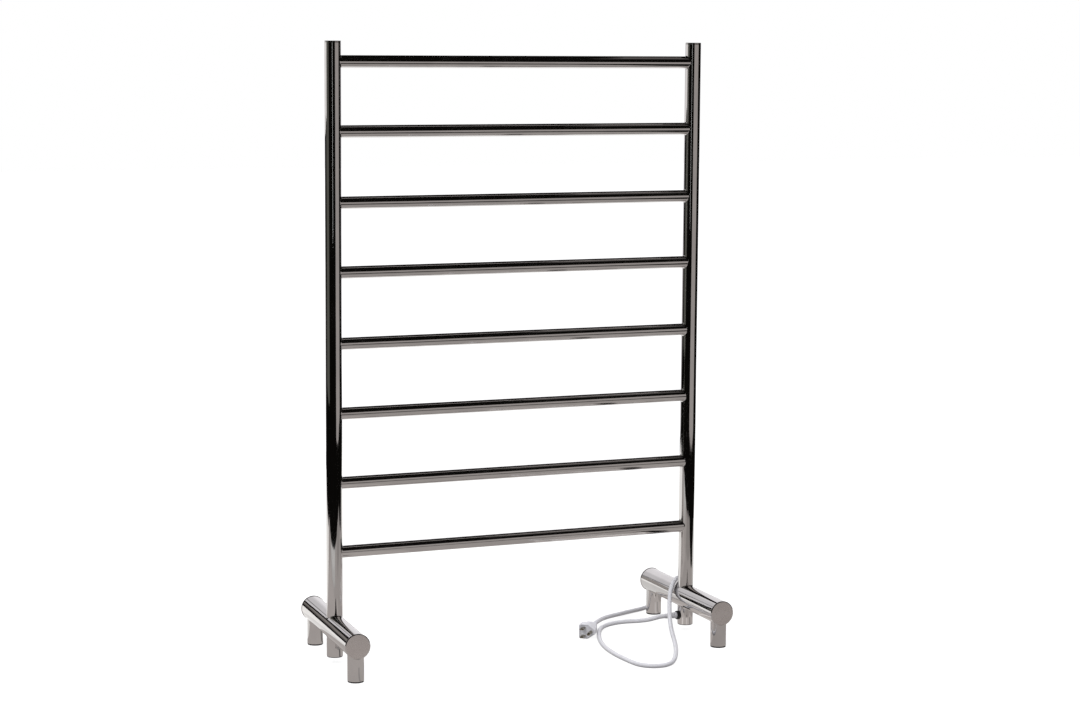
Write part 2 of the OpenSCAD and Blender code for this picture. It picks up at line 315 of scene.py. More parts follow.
def stretched(axis, along, across):
    """Noise stretch factors for a grain that runs along one axis."""
    return [along if k == axis else across for k in range(3)]


# ---------------------------------------------------------------- materials
STEEL_LIGHT = (0.67, 0.655, 0.645)
STEEL_DARK = (0.61, 0.595, 0.59)
SATIN_LIGHT = (0.70, 0.665, 0.65)
SATIN_DARK = (0.60, 0.565, 0.55)
NYLON_LIGHT = (0.014, 0.0135, 0.013)
NYLON_DARK = (0.004, 0.004, 0.0045)
PVC_LIGHT = (0.83, 0.83, 0.865)
PVC_DARK = (0.74, 0.735, 0.765)
BRASS_LIGHT = (0.36, 0.33, 0.25)
BRASS_DARK = (0.17, 0.155, 0.11)
EVEN = (1, 1, 1)


def polished_steel(axis):
    """Mirror-polished tube: fine polishing lines along it, faint smudges, and a wall not quite flat."""
    material = new_material("polished_steel_" + "xyz"[axis], STEEL_LIGHT, 1.0, 0.05)
    smudge = add_noise(material, stretched(axis, 1.0, 1.6), scale=26, detail=4)
    lines = add_noise(material, stretched(axis, 0.012, 1.0), scale=2600, detail=2)
    along = stretched(axis, 0.05, 1.0)
    scratches = add_noise(material, along, scale=900, detail=1, roughness=0.4, offset=3.7)
    wave = add_noise(material, stretched(axis, 1.0, 1.4), scale=22, detail=1, roughness=0.3, offset=1.3)
    tint(material, smudge, STEEL_DARK, STEEL_LIGHT, 0.25, 0.6)
    matt = map_range(material, smudge, 0.45, 0.8, 0.035, 0.10)
    worn = map_range(material, scratches, 0.72, 0.80, 0.0, 0.12)
    set_roughness(material, math_node(material, "ADD", matt, worn))
    slow = add_bump(material, wave, 0.16 * MM)
    set_normal(material, add_bump(material, lines, 0.0006 * MM, slow))
    return material


def satin_steel():
    """The face of an end disc: a cloudy satin finish with an upright grain."""
    material = new_material("satin_steel", STEEL_LIGHT, 1.0, 0.24)
    cloud = add_noise(material, EVEN, scale=60, detail=5)
    grain = add_noise(material, (1, 1, 0.06), scale=2400, detail=2)
    tint(material, cloud, SATIN_DARK, SATIN_LIGHT)
    set_roughness(material, map_range(material, cloud, 0.3, 0.7, 0.2, 0.32))
    set_normal(material, add_bump(material, grain, 0.004 * MM))
    return material


def black_nylon():
    """Moulded nylon with a spark-eroded texture and dusty high spots."""
    material = new_material("black_nylon", (0.008, 0.008, 0.0085), 0.0, 0.5)
    material.node_tree.nodes["Principled BSDF"].inputs["Specular IOR Level"].default_value = 0.3
    grain = add_noise(material, EVEN, scale=3200, detail=3)
    cloud = add_noise(material, EVEN, scale=180, detail=4)
    tint(material, cloud, NYLON_DARK, NYLON_LIGHT)
    set_roughness(material, map_range(material, cloud, 0.3, 0.7, 0.42, 0.62))
    set_normal(material, add_bump(material, grain, 0.05 * MM))
    return material


def white_pvc():
    """Soft white PVC: a satin skin with a fine orange peel, a faint blue-grey cast and handling marks."""
    material = new_material("white_pvc", (0.80, 0.80, 0.83), 0.0, 0.38)
    shader = material.node_tree.nodes["Principled BSDF"]
    shader.inputs["Subsurface Weight"].default_value = 0.05
    shader.inputs["Subsurface Radius"].default_value = (0.002, 0.002, 0.002)
    peel = add_noise(material, EVEN, scale=2100, detail=3)
    cloud = add_noise(material, EVEN, scale=70, detail=5)
    tint(material, cloud, PVC_DARK, PVC_LIGHT, 0.25, 0.65)
    set_roughness(material, map_range(material, cloud, 0.3, 0.7, 0.32, 0.46))
    set_normal(material, add_bump(material, peel, 0.03 * MM))
    return material


def sleeve(name, colour, spread, matt, weave):
    """Plain insulation or sleeving: its colour varies by spread in clouds, under a fine skin or weave."""
    material = new_material(name, colour, 0.0, matt)
    cloud = add_noise(material, EVEN, scale=140, detail=4)
    skin = add_noise(material, EVEN, scale=weave, detail=2)
    darker = tuple(max(c - spread, 0.0) for c in colour)
    lighter = tuple(min(c + spread, 1.0) for c in colour)
    tint(material, cloud, darker, lighter)
    set_roughness(material, map_range(material, cloud, 0.3, 0.7, matt - 0.08, matt + 0.08))
    set_normal(material, add_bump(material, skin, 0.03 * MM))
    return material


def small_metal(name, colour, dull, matt):
    """Stamped or drawn small parts: a dull film in patches, and drawing marks."""
    material = new_material(name, colour, 1.0, matt)
    film = add_noise(material, EVEN, scale=260, detail=5)
    marks = add_noise(material, (1, 0.1, 1), scale=2600, detail=2)
    tint(material, film, dull, colour)
    set_roughness(material, map_range(material, film, 0.3, 0.7, matt + 0.12, matt - 0.04))
    set_normal(material, add_bump(material, marks, 0.01 * MM))
    return material


# Polished steel for tubes that run along X, Y and Z.
STEEL = [polished_steel(axis) for axis in range(3)]
SATIN = satin_steel()
NYLON = black_nylon()
PVC = white_pvc()
BRASS = small_metal("brass", BRASS_LIGHT, BRASS_DARK, 0.24)


# ---------------------------------------------------------------- camera and cord
def make_camera():
    data = bpy.data.cameras.new("camera")
    data.lens = CAMERA_LENS
    data.sensor_width = 36
    data.clip_end = 60
    camera = bpy.data.objects.new("camera", data)
    turn = Matrix.Rotation(math.radians(-CAMERA_YAW), 4, "Z")
    tilt = Matrix.Rotation(math.radians(90 + CAMERA_PITCH), 4, "X")
    roll = Matrix.Rotation(math.radians(CAMERA_ROLL), 4, "Z")
    camera.matrix_world = Matrix.Translation(CAMERA_PLACE) @ turn @ tilt @ roll
    bpy.context.scene.collection.objects.link(camera)
    bpy.context.scene.camera = camera


def spline_point(a, b, c, d, t):
    """A point of a uniform cubic B-spline, t from 0 to 1 between the middle two of four points."""
    return (
        (1 - t) ** 3 * a
        + (3 * t ** 3 - 6 * t ** 2 + 4) * b
        + (-3 * t ** 3 + 3 * t ** 2 + 3 * t + 1) * c
        + t ** 3 * d
    ) / 6


def cord_line():
    """The cord's centreline, as in the CAD source: a spline from the route's first point to its last one."""
    points = [Vector((post_x, 0, 0)) + Vector(p) * MM for p in CORD_ROUTE]
    run = [2 * points[0] - points[1]] + points + [2 * points[-1] - points[-2]]
    line = []
    for four in zip(run, run[1:], run[2:], run[3:]):
        line += [spline_point(*four, k / CORD_STEPS) for k in range(CORD_STEPS)]
    return line + [points[-1]]


def make_cord(line):
    curve = bpy.data.curves.new("mains_cord_jacket", "CURVE")
    curve.dimensions = "3D"
    curve.bevel_depth = CORD_DIAMETER / 2
    curve.bevel_resolution = 8
    curve.use_fill_caps = True
    spline = curve.splines.new("POLY")
    spline.points.add(len(line) - 1)
    for point, place_on in zip(spline.points, line):
        point.co = (*place_on, 1)
    spline.use_smooth = True
    return make_object("mains_cord_jacket", curve, PVC, "white_pvc", "mains_cord")


make_camera()
line = cord_line()
cord = make_cord(line)


# ---------------------------------------------------------------- plug
PLUG_LENGTH = 35 * MM
PLUG_RELIEF_LENGTH = 22 * MM
# From the cord's end to the plug's face.
PLUG_FACE = PLUG_RELIEF_LENGTH + PLUG_LENGTH
# (half width, half height, half height at the round pin's side) of the plug's back and face, the radius of
# its long edges and the length of the rounding at both its ends, in millimetres.
PLUG_BACK_SIZE = (9.0, 9.0, 7.0)
PLUG_FACE_SIZE = (13.5, 12.0, 5.0)
PLUG_CORNER = 3.2
PLUG_ROUND = 1.2
PLUG_STEPS = 68
CORNER_STEPS = 7
# The plug widens over this stretch of its length, in millimetres from its back.
WIDEN_FROM = 6
WIDEN_LENGTH = 15
# Finger grooves round the back of the plug, and the parting line near its face, in millimetres.
GROOVES_FROM = 5
GROOVES_TO = 19
GROOVE_PITCH = 2.8
GROOVE_DEPTH = 0.45
PARTING_FROM = 29.4
PARTING_TO = 30.4
PARTING_DEPTH = 0.35
# (how far the section is drawn in, place along) where the plug's back and face round over, in millimetres.
BACK_ROUNDING = [(2.2, 0.0), (0.9, 0.25), (0.25, 0.7)]
FACE_ROUNDING = [(0.12, 34.2), (0.4, 34.65), (0.95, 34.92), (1.5, 35.0), (2.2, 34.96), (2.5, 34.6)]

# Wall of a strain relief at its tip.
RELIEF_WALL = 0.4 * MM
RELIEF_STEPS = 96
RELIEF_GROOVES = 6
# A groove takes up this share of its pitch, and is this share of the root's radius deep.
GROOVE_SHARE = 0.42
GROOVE_CUT = 0.16
# Shares of its length between which a relief has grooves, and over which its tip is rounded.
GROOVED_FROM = 0.06
GROOVED_TO = 0.9
TIP_SHARE = 1 / 30
TIP_EDGE = 0.25 * MM
PLUG_RELIEF_ROOT = 6 * MM

BLADE_WIDTH = 6.35 * MM
BLADE_THICK = 1.5 * MM
BLADE_REACH = 16.5 * MM
BLADE_OFFSET = 5.5 * MM
BLADE_PITCH = 12.7 * MM
BLADE_CHAMFER = 1.3 * MM
BLADE_BEVEL = 0.2 * MM
BLADE_HALF_LENGTH = 12 * MM
BLADE_HOLE_FROM_TIP = 4.6 * MM
BLADE_HOLE_RADIUS = 1.6 * MM
PIN_OFFSET = -6.4 * MM
PIN_RADIUS = 2.4 * MM
PIN_REACH = 20 * MM
DOME_STEPS = 8
# How far the blades and the pin go into the plug.
CONTACT_ROOT = 8 * MM
plug_along = (line[-1] - line[-2]).normalized()
plug_frame = frame_from(line[-1], plug_along, (0, 0, 1))


def rounded_section(half_wide, half_high, pin_high, corner, along):
    """A section across the plug: full height at the blades' side, and from its middle narrowing to twice
    pin_high at the round pin's side, with rounded corners. X is up, Y sideways in the plug's own frame."""
    high = half_high - corner
    wide = half_wide - corner
    low = pin_high - corner
    centres = [(high, 0), (high, wide), (-high, wide), (-high, 0), (-low, -wide), (low, -wide)]
    outward = []
    for start, end in zip(centres, centres[1:] + centres[:1]):
        outward.append(math.atan2(start[0] - end[0], end[1] - start[1]))
    ring = []
    for k, (x, y) in enumerate(centres):
        turn = (outward[k] - outward[k - 1]) % (2 * math.pi)
        for step in range(CORNER_STEPS):
            a = outward[k - 1] + turn * step / (CORNER_STEPS - 1)
            ring.append(Vector((x + corner * math.cos(a), y + corner * math.sin(a), along)))
    return ring


def smooth_step(t):
    t = min(max(t, 0.0), 1.0)
    return t * t * (3 - 2 * t)


def plug_sections():
    """(half width, half height, half height at the pin's side, corner, place along) from the cord's end to
    the face of the plug, in millimetres."""
    sections = []
    for k in range(PLUG_STEPS + 1):
        s = PLUG_ROUND + (PLUG_LENGTH / MM - 2 * PLUG_ROUND) * k / PLUG_STEPS
        grow = smooth_step((s - WIDEN_FROM) / WIDEN_LENGTH)
        cut = 0.0
        if GROOVES_FROM < s < GROOVES_TO:
            cut = GROOVE_DEPTH * max(math.sin((s - GROOVES_FROM) * math.pi / GROOVE_PITCH), 0) ** 2
        if PARTING_FROM < s < PARTING_TO:
            cut = PARTING_DEPTH
        halves = [back + (face - back) * grow - cut for back, face in zip(PLUG_BACK_SIZE, PLUG_FACE_SIZE)]
        sections.append((*halves, PLUG_CORNER, s))
    return sections


def drawn_in(section, cut, corner_share, along):
    """The section at another place along, its sides drawn in by cut and its corners by a share of that."""
    wide, high, low, corner, _ = section
    return (wide - cut, high - cut, low - cut, corner - cut * corner_share, along)


def make_plug_body():
    sections = plug_sections()
    back = [drawn_in(sections[0], cut, 0.5, along) for cut, along in BACK_ROUNDING]
    face = [drawn_in(sections[-1], cut, 0.6, along) for cut, along in FACE_ROUNDING]
    rings = [
        rounded_section(wide * MM, high * MM, low * MM, corner * MM, PLUG_RELIEF_LENGTH + along * MM)
        for wide, high, low, corner, along in back + sections + face
    ]
    mesh = mesh_of_rings("plug_moulding", place(rings, plug_frame), False, SHARP_SMALL)
    return make_object("plug_moulding", mesh, PVC, "white_pvc", "plug_body")


def relief_profile(length, root):
    """(radius, height) of a tapered sleeve from its tip at height 0 to its root, with grooves round it."""
    tip = CORD_DIAMETER / 2 + RELIEF_WALL
    profile = [(0.6 * tip, 0.0)]
    for k in range(RELIEF_STEPS + 1):
        s = k / RELIEF_STEPS
        radius = tip + (root - tip) * s ** 1.2
        phase = (s * (RELIEF_GROOVES + 0.5)) % 1.0
        if GROOVED_FROM < s < GROOVED_TO and phase < GROOVE_SHARE:
            radius -= GROOVE_CUT * root * math.sin(math.pi * phase / GROOVE_SHARE) ** 0.6
        edge = TIP_EDGE * max(0.0, 1 - s / TIP_SHARE)
        profile.append((radius - edge, max(s * length, 0.02 * MM)))
    return profile


def make_relief(name, profile, matrix, node):
    rings = place(lathe(profile, SMALL_SEGMENTS), matrix)
    mesh = mesh_of_rings(name, rings, False, SHARP_SMALL)
    return make_object(name, mesh, PVC, "white_pvc", node)


def make_plug_relief():
    """The sleeve on the cord where it enters the plug; its root goes 0.6 mm into the plug's rounded back."""
    profile = relief_profile(PLUG_RELIEF_LENGTH + 0.6 * MM, PLUG_RELIEF_ROOT)
    return make_relief("plug_strain_relief", profile, plug_frame, "plug_relief")


def blade_outline():
    """(across, along) points of a blade from its root in the plug to its chamfered tip."""
    half = BLADE_WIDTH / 2
    tip = PLUG_FACE + BLADE_REACH
    root = tip - BLADE_REACH - CONTACT_ROOT
    shoulder = tip - BLADE_CHAMFER
    corner = half - 0.9 * BLADE_CHAMFER
    return [(-half, root), (half, root), (half, shoulder), (corner, tip), (-corner, tip), (-half, shoulder)]


def along_outline(outline, spacing):
    """The outline's points with more between them, so that no gap is wider than spacing."""
    dense = []
    for start, end in zip(outline, outline[1:] + outline[:1]):
        gap = math.dist(start, end)
        pieces = max(1, math.ceil(gap / spacing))
        for k in range(pieces):
            t = k / pieces
            dense.append((start[0] + (end[0] - start[0]) * t, start[1] + (end[1] - start[1]) * t))
    return dense


def make_blade(name, node, level):
    """A stamped blade with a hole near its tip and its edges broken; level is its height in the plug."""
    tip = PLUG_FACE + BLADE_REACH
    outline = along_outline(blade_outline(), 1.0 * MM)
    hole_along = tip - BLADE_HOLE_FROM_TIP
    centre_along = (outline[0][1] + tip) / 2

    def outer_ring(height, inset):
        shrink_across = 1 - inset / (BLADE_WIDTH / 2)
        shrink_along = 1 - inset / BLADE_HALF_LENGTH
        ring = []
        for across, along in outline:
            z = centre_along + (along - centre_along) * shrink_along
            ring.append(Vector((level + height, across * shrink_across + BLADE_OFFSET, z)))
        return ring

    def hole_ring(height, radius):
        ring = []
        for across, along in outline:
            angle = math.atan2(across, along - hole_along)
            y = radius * math.sin(angle)
            ring.append(Vector((level + height, y + BLADE_OFFSET, hole_along + radius * math.cos(angle))))
        return ring

    half = BLADE_THICK / 2
    rings = [
        outer_ring(-half + BLADE_BEVEL, 0),
        outer_ring(half - BLADE_BEVEL, 0),
        outer_ring(half, BLADE_BEVEL),
        hole_ring(half, BLADE_HOLE_RADIUS + BLADE_BEVEL),
        hole_ring(half - BLADE_BEVEL, BLADE_HOLE_RADIUS),
        hole_ring(-half + BLADE_BEVEL, BLADE_HOLE_RADIUS),
        hole_ring(-half, BLADE_HOLE_RADIUS + BLADE_BEVEL),
        outer_ring(-half, BLADE_BEVEL),
    ]
    mesh = mesh_of_rings(name, place(rings, plug_frame), True, SHARP_BLADE)
    return make_object(name, mesh, BRASS, "brass", node)


def make_ground_pin():
    """A round pin with a domed tip, whose last ring stops just short of the pole."""
    end = PLUG_FACE + PIN_REACH
    root = PLUG_FACE - CONTACT_ROOT
    profile = [(0.3 * PIN_RADIUS, root), (PIN_RADIUS, root), (PIN_RADIUS, PLUG_FACE + 0.3 * MM)]
    profile.append((PIN_RADIUS, end - PIN_RADIUS))
    for k in range(1, DOME_STEPS + 1):
        a = math.pi / 2 * k / (DOME_STEPS + 0.4)
        profile.append((PIN_RADIUS * math.cos(a), end - PIN_RADIUS + PIN_RADIUS * math.sin(a)))
    rings = lathe(profile, PIN_SEGMENTS)
    matrix = plug_frame @ Matrix.Translation((0, PIN_OFFSET, 0))
    mesh = mesh_of_rings("round_pin", place(rings, matrix), False, SHARP_SMALL)
    return make_object("round_pin", mesh, BRASS, "brass", "ground_pin")


plug_pieces = [
    make_plug_body(),
    make_plug_relief(),
    make_blade("flat_blade_upper", "upper_blade", BLADE_PITCH / 2),
    make_blade("flat_blade_lower", "lower_blade", -BLADE_PITCH / 2),
    make_ground_pin(),
]


# ---------------------------------------------------------------- rack
CAP_SEAM_EDGE = 0.3 * MM
CAP_EDGE = 0.7 * MM
DISC_THICK = 2 * MM
DISC_SPIGOT = 4 * MM
DISC_BACK_EDGE = 0.15 * MM
RIM_BEVEL = 1.2 * MM
# Cosine of the tilt at which a disc's satin face ends and its polished rim starts.
RIM_TILT = 0.985
GLIDE_THICK = 2 * MM
POST_PLUG_THICK = 1 * MM
TREAD_EDGE = 0.5 * MM
TREAD_RECESS = 0.3 * MM
# Shares of an insert's radius between which its tread falls to the recess.
RECESS_INNER = 0.62
RECESS_OUTER = 0.66


def box_centre(node):
    low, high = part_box(node)
    return (low + high) / 2


def foot_turn(name):
    """The foot's turn about its post, from the places of its two glides."""
    along = box_centre(f"{name}_back_glide") - box_centre(f"{name}_front_glide")
    return math.atan2(-along.x, along.y)


def foot_place(name, side):
    """The foot's own frame: its origin on the floor under the post, its Y along the foot tube."""
    return Matrix.Translation((side * post_x, 0, 0)) @ Matrix.Rotation(foot_turn(name), 4, "Z")


def foot_reach(name, node):
    """How far the node's round end lies from the post's axis along the foot."""
    low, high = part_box(node)
    turn = abs(foot_turn(name))
    far = max(high.y, -low.y)
    radius = (high.z - low.z) / 2
    return (far - radius * math.sin(turn)) / math.cos(turn)


def make_bar(number):
    node = f"bar_{number}"
    low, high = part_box(node)
    height = (low.z + high.z) / 2
    rings = coped_end(bar_radius, BAR_WALL, post_radius, -post_x, 1)[::-1]
    rings += coped_end(bar_radius, BAR_WALL, post_radius, post_x, -1)
    # the tube's own Z runs along the rack and its Y runs up, along the posts
    matrix = Matrix(((0, 0, 1, 0), (1, 0, 0, 0), (0, 1, 0, height), (0, 0, 0, 1)))
    mesh = mesh_of_rings(f"rail_{number}", place(rings, matrix), True)
    make_object(f"rail_{number}", mesh, STEEL[0], "polished_steel", node)


def make_post(name, side):
    low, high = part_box(f"{name}_post")
    rings = square_end(post_radius, POST_WALL, low.z, -1)[::-1]
    rings += weld_rings(post_radius, foot_radius, foot_axis_z, -1)
    rings.append(saddle(post_radius + WELD, foot_radius, foot_axis_z, -1, -2 * BURIED))
    rings.append(saddle(post_radius + WELD, foot_radius, foot_axis_z, 1, -2 * BURIED))
    rings += weld_rings(post_radius, foot_radius, foot_axis_z, 1)[::-1]
    rings += square_end(post_radius, POST_WALL, high.z, 1)
    mesh = mesh_of_rings(f"{name}_upright", place(rings, foot_place(name, side)), True)
    make_object(f"{name}_upright", mesh, STEEL[2], "polished_steel", f"{name}_post")


def make_cap(name, side):
    """A flat cap with a rounded edge, and a fine groove where it meets the post."""
    low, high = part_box(f"{name}_post_cap")
    seam = post_high.z
    spigot = post_radius - POST_WALL - SPIGOT_GAP
    profile = [(0.5 * spigot, low.z), (spigot, low.z), (spigot, seam)]
    profile += rounded_edge(post_radius, seam, CAP_SEAM_EDGE, -1, 2)
    profile += rounded_edge(post_radius, high.z, CAP_EDGE, 1)
    profile.append((0.4 * post_radius, high.z))
    rings = lathe(profile)
    mesh = mesh_of_rings(f"{name}_end_cap", place(rings, Matrix.Translation((side * post_x, 0, 0))), False)
    make_object(f"{name}_end_cap", mesh, STEEL[2], "polished_steel", f"{name}_post_cap")


def make_foot_tube(name, side):
    reach = foot_reach(name, f"{name}_foot_tube")
    rings = square_end(foot_radius, FOOT_WALL, -reach, -1)[::-1]
    rings += square_end(foot_radius, FOOT_WALL, reach, 1)
    matrix = foot_place(name, side) @ frame_from((0, 0, foot_axis_z), (0, 1, 0), (0, 0, 1))
    mesh = mesh_of_rings(f"{name}_foot", place(rings, matrix), True)
    make_object(f"{name}_foot", mesh, STEEL[1], "polished_steel", f"{name}_foot_tube")


def make_disc(name, side, end_name, end):
    """A turned disc on the end of a foot tube, a little proud of it, with a bevelled and polished rim and
    a satin face."""
    node = f"{name}_{end_name}_disc"
    face = foot_reach(name, node)
    back = face - DISC_THICK
    spigot = foot_radius - FOOT_WALL - SPIGOT_GAP
    profile = [(0.5 * spigot, back - DISC_SPIGOT), (spigot, back - DISC_SPIGOT), (spigot, back)]
    profile += rounded_edge(disc_radius, back, DISC_BACK_EDGE, -1, 2)
    profile += [(disc_radius, face - RIM_BEVEL), (disc_radius - RIM_BEVEL, face), (0.3 * disc_radius, face)]
    rings = lathe(profile)
    matrix = foot_place(name, side) @ frame_from((0, 0, foot_axis_z), (0, end, 0), (0, 0, 1))
    piece_name = f"{name}_{end_name}_end_disc"
    mesh = mesh_of_rings(piece_name, place(rings, matrix), False)
    disc = make_object(piece_name, mesh, SATIN, "satin_steel", node)
    disc.data.materials.append(STEEL[1])
    outward = matrix.col[2].xyz
    for polygon in mesh.polygons:
        if polygon.normal.dot(outward) < RIM_TILT:
            polygon.material_index = 1


def make_peg(name, side, end_name, end):
    node = f"{name}_{end_name}_peg"
    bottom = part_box(node)[0].z
    rings = square_end(post_radius, POST_WALL, bottom, -1)[::-1]
    rings += coped_end(post_radius, POST_WALL, foot_radius, foot_axis_z, -1)
    out = (box_centre(node) - Vector((side * post_x, 0, 0))).xy.length
    matrix = foot_place(name, side) @ Matrix.Translation((0, end * out, 0))
    piece_name = f"{name}_{end_name}_leg"
    mesh = mesh_of_rings(piece_name, place(rings, matrix), True)
    make_object(piece_name, mesh, STEEL[2], "polished_steel", node)


def make_insert(piece_name, node, thick):
    """A moulded nylon insert in the bottom of a tube: a tread of that thickness with a shallow recess under
    its middle, on a spigot."""
    low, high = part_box(node)
    radius = (high.x - low.x) / 2
    tube_end = low.z + thick
    spigot = post_radius - POST_WALL - SPIGOT_GAP
    recess = low.z + TREAD_RECESS
    profile = [(0.25 * radius, recess), (RECESS_INNER * radius, recess), (RECESS_OUTER * radius, low.z)]
    profile += rounded_edge(radius, low.z, TREAD_EDGE, -1, 3)
    profile += [(radius, tube_end), (spigot, tube_end)]
    profile += [(spigot, high.z - TREAD_EDGE), (spigot - TREAD_EDGE, high.z), (0.3 * radius, high.z)]
    matrix = Matrix.Translation(((low.x + high.x) / 2, (low.y + high.y) / 2, 0))
    mesh = mesh_of_rings(piece_name, place(lathe(profile), matrix), False)
    make_object(piece_name, mesh, NYLON, "black_nylon", node)


for number in range(1, 9):
    make_bar(number)
for name, side in SIDES.items():
    make_post(name, side)
    make_cap(name, side)
    make_insert(f"{name}_tube_plug", f"{name}_post_plug", POST_PLUG_THICK)
    make_foot_tube(name, side)
    for end_name, end in ENDS.items():
        make_disc(name, side, end_name, end)
        make_peg(name, side, end_name, end)
        make_insert(f"{name}_{end_name}_floor_glide", f"{name}_{end_name}_glide", GLIDE_THICK)


# ---------------------------------------------------------------- gland and strain relief
GLAND_NECK_RADIUS = 4.8 * MM
# How far the flange is let into the post's round side.
GLAND_SEAT = 3 * MM
# (how far in from the flange's edge, how far behind its face) along the flange's dome, in millimetres.
GLAND_DOME = [(0.0, 0.9), (0.2, 0.4), (0.8, 0.1), (1.4, 0.0)]
GLAND_MOUTH = 0.5 * MM
GLAND_RELIEF_ROOT = 5.2 * MM
# The relief's root inside the post is drawn in under the cord's skin by this much.
RELIEF_INSIDE = 0.05 * MM


def make_gland():
    """A round bush in the right post's lower end: a domed flange, and a neck through the wall."""
    flange = (gland_high.z - gland_low.z) / 2
    face = post_x - gland_low.x
    neck = post_x - gland_high.x
    hole = CORD_DIAMETER / 2
    seat = post_radius - GLAND_SEAT
    profile = [(hole, neck), (GLAND_NECK_RADIUS, neck), (GLAND_NECK_RADIUS, seat), (flange, seat)]
    profile += [(flange - inward * MM, face - behind * MM) for inward, behind in GLAND_DOME]
    profile += [(hole + GLAND_MOUTH, face), (hole, face - GLAND_MOUTH)]
    matrix = frame_from((post_x, 0, gland_z), (-1, 0, 0), (0, 0, 1))
    mesh = mesh_of_rings("gland_bush", place(lathe(profile, GLAND_SEGMENTS), matrix), True)
    make_object("gland_bush", mesh, NYLON, "black_nylon", "cord_gland")


def make_cord_relief():
    """The sleeve on the cord where it leaves the gland; its root passes through the gland into the post."""
    tip_x = relief_low.x
    length = gland_low.x - tip_x
    matrix = frame_from((tip_x, 0, gland_z), (1, 0, 0), (0, 0, 1))
    inside = CORD_DIAMETER / 2 - RELIEF_INSIDE
    profile = relief_profile(length, GLAND_RELIEF_ROOT)
    profile += [(inside, length + 0.1 * MM), (inside, relief_high.x - tip_x)]
    make_relief("cord_strain_relief", profile, matrix, "cord_relief")


make_gland()
make_cord_relief()


# ---------------------------------------------------------------- inner pieces that stay as CAD
INNER = {
    "heating_cable": sleeve("silicone_sleeve", (0.40, 0.13, 0.09), 0.05, 0.6, 1800),
    "thermal_fuse": sleeve("fuse_sleeve", (0.78, 0.77, 0.70), 0.06, 0.75, 900),
    "live_splice": sleeve("black_sleeve", (0.03, 0.03, 0.035), 0.015, 0.45, 1500),
    "neutral_wire": sleeve("white_sleeve", (0.80, 0.80, 0.78), 0.04, 0.4, 2500),
    "earth_wire": sleeve("green_sleeve", (0.06, 0.28, 0.08), 0.03, 0.4, 2500),
    "earth_lug": small_metal("tinned_brass", (0.78, 0.75, 0.68), (0.62, 0.58, 0.5), 0.3),
    "earth_rivet": small_metal("rivet_aluminium", (0.72, 0.72, 0.73), (0.55, 0.55, 0.56), 0.35),
    "gland_nut": NYLON,
}
INNER["neutral_splice"] = INNER["live_splice"]
INNER["live_wire"] = INNER["live_splice"]

for node, material in INNER.items():
    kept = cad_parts[node]
    kept.data.materials.clear()
    kept.data.materials.append(material)


# ---------------------------------------------------------------- studio
def link_stage(thing):
    bpy.context.scene.collection.objects.link(thing)
    return thing


def flat_mesh(name, corners):
    mesh = bpy.data.meshes.new(name)
    mesh.from_pydata([Vector(c) for c in corners], [], [tuple(range(len(corners)))])
    return mesh


def glow(name, colour, strength):
    material = bpy.data.materials.new(name)
    material.use_nodes = True
    nodes = material.node_tree.nodes
    nodes.clear()
    emission = nodes.new("ShaderNodeEmission")
    emission.inputs["Color"].default_value = (*colour, 1)
    emission.inputs["Strength"].default_value = strength
    output = nodes.new("ShaderNodeOutputMaterial")
    material.node_tree.links.new(emission.outputs["Emission"], output.inputs["Surface"])
    return material


def reflector(name, corners, colour, strength):
    """A glowing card for a studio reflector, out of the picture: it only shows in reflections."""
    card = link_stage(bpy.data.objects.new(name, flat_mesh(name, corners)))
    card.data.materials.append(glow(name, colour, strength))
    card.visible_camera = False
    card.visible_diffuse = False
    card.visible_transmission = False
    card.visible_volume_scatter = False
    card.visible_shadow = False


def upright_card(name, start, end, bottom, top, colour, strength):
    corners = [(*start, bottom), (*end, bottom), (*end, top), (*start, top)]
    reflector(name, corners, colour, strength)


FLOOR_HALF = 14
FLOOR_COLOUR = (0.35, 0.35, 0.35)
FLOOR_ROUGHNESS = 0.9
FLOOR_GLOW = 0.85


def make_floor():
    """A plain white floor, lit so that it runs into the white background."""
    half = FLOOR_HALF
    mesh = flat_mesh("floor", [(-half, -half, 0), (half, -half, 0), (half, half, 0), (-half, half, 0)])
    floor = link_stage(bpy.data.objects.new("floor", mesh))
    material = new_material("floor_white", FLOOR_COLOUR, 0.0, FLOOR_ROUGHNESS)
    shader = material.node_tree.nodes["Principled BSDF"]
    shader.inputs["Specular IOR Level"].default_value = 0.0
    shader.inputs["Emission Color"].default_value = (1, 1, 1, 1)
    shader.inputs["Emission Strength"].default_value = FLOOR_GLOW
    floor.data.materials.append(material)
    floor.visible_glossy = False
    floor.visible_diffuse = False


# (colour, strength) of the world on matt surfaces, above and below, and in reflections.
SKY_ABOVE = ((0.97, 0.97, 1.0), 0.86)
SKY_BELOW = ((1.0, 0.98, 0.97), 0.16)
DARK_STUDIO = ((0.004, 0.0035, 0.003), 1.0)
# The sky goes from below to above between these two heights of the direction.
SKY_FROM = -0.5
SKY_TO = 0.8


